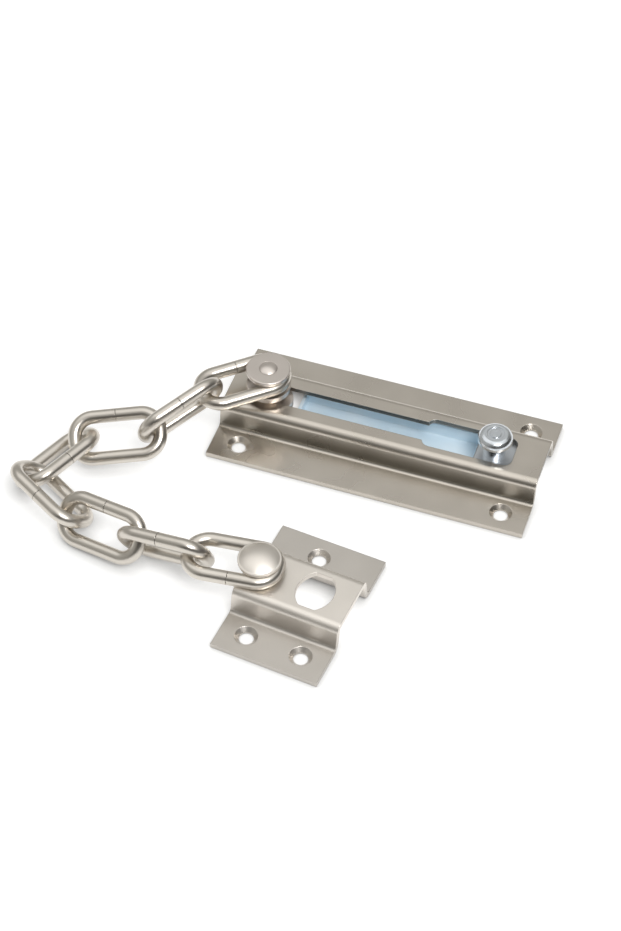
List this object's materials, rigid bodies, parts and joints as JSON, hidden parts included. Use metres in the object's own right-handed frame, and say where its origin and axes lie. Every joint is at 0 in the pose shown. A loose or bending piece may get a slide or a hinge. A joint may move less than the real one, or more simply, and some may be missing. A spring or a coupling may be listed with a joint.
{
  "type": "door security chain",
  "caption": "Door security chain: a hat-section slide plate with a stepped slot, a sliding bolt and a chain slider, joined by wire links to a short riveted keeper plate.",
  "frame": {"origin": "middle of the slide plate's four screw holes, on the door face", "axes": "+X along the slot towards the knob, +Z out of the door"},
  "size_m": [0.1807, 0.1414, 0.0291],
  "materials": {
    "satin_nickel": "satin nickel plate on steel",
    "blue_zinc": "blue passivated zinc plate on steel",
    "bright_zinc": "bright turned zinc plate on steel"
  },
  "bodies": {
    "plate": {"slide_plate": "satin_nickel"},
    "bolt": {"bolt_tray": "blue_zinc", "bolt_knob": "bright_zinc"},
    "slider": {"slider_foot": "satin_nickel", "slider_stud": "satin_nickel", "slider_head": "satin_nickel"},
    "link_1": {"chain_link_1": "satin_nickel"},
    "link_2": {"chain_link_2": "satin_nickel"},
    "link_3": {"chain_link_3": "satin_nickel"},
    "link_4": {"chain_link_4": "satin_nickel"},
    "link_5": {"chain_link_5": "satin_nickel"},
    "link_6": {"chain_link_6": "satin_nickel"},
    "link_7": {"chain_link_7": "satin_nickel"},
    "link_8": {"chain_link_8": "satin_nickel"},
    "keeper": {"keeper_plate": "satin_nickel", "keeper_rivet": "satin_nickel"}
  },
  "joints": [
    {"name": "slider_slide", "type": "slide", "parent": "plate", "child": "slider", "axis": [1, 0, 0], "range_m": [0, 0.0699]},
    {"name": "bolt_slide", "type": "slide", "parent": "plate", "child": "bolt", "axis": [-1, 0, 0], "range_m": [0, 0.06]},
    {"name": "stud_swivel", "type": "hinge", "parent": "slider", "child": "link_1", "pos_m": [-0.0454, 0, 0.0193], "axis": [0, 0, 1], "range_deg": [-90, 15]},
    {"name": "link_2_swing", "type": "hinge", "parent": "link_1", "child": "link_2", "pos_m": [-0.06129, -0.01222, 0.02079], "axis": [-0.1689, 0.3714, -0.913], "range_deg": [-40, 20]},
    {"name": "link_3_swing", "type": "hinge", "parent": "link_2", "child": "link_3", "pos_m": [-0.07989, -0.0369, 0.01419], "axis": [-0.1689, 0.3714, -0.913], "range_deg": [-25, 60]},
    {"name": "link_4_swing", "type": "hinge", "parent": "link_3", "child": "link_4", "pos_m": [-0.10206, -0.03759, 0.00694], "axis": [-0.754, 0.3201, -0.5736], "range_deg": [0, 60]},
    {"name": "link_5_swing", "type": "hinge", "parent": "link_4", "child": "link_5", "pos_m": [-0.11642, -0.06266, 0.01013], "axis": [0.325, 0.7317, -0.5992], "range_deg": [-8, 30]},
    {"name": "link_6_swing", "type": "hinge", "parent": "link_5", "child": "link_6", "pos_m": [-0.08864, -0.07743, 0.00716], "axis": [0.325, 0.7317, -0.5992], "range_deg": [-40, 60]},
    {"name": "link_7_swing", "type": "hinge", "parent": "link_6", "child": "link_7", "pos_m": [-0.06955, -0.08102, 0.00969], "axis": [0.1784, 0.3604, -0.9156], "range_deg": [-8, 35]},
    {"name": "link_8_swing", "type": "hinge", "parent": "link_7", "child": "link_8", "pos_m": [-0.03846, -0.08374, 0.01467], "axis": [-0.1784, -0.3604, 0.9156], "range_deg": [-60, 45]},
    {"name": "keeper_swivel", "type": "hinge", "parent": "link_8", "child": "keeper", "pos_m": [-0.01969, -0.08101, 0.0143], "axis": [0, 0, -1], "range_deg": [-70, 70]}
  ]
}
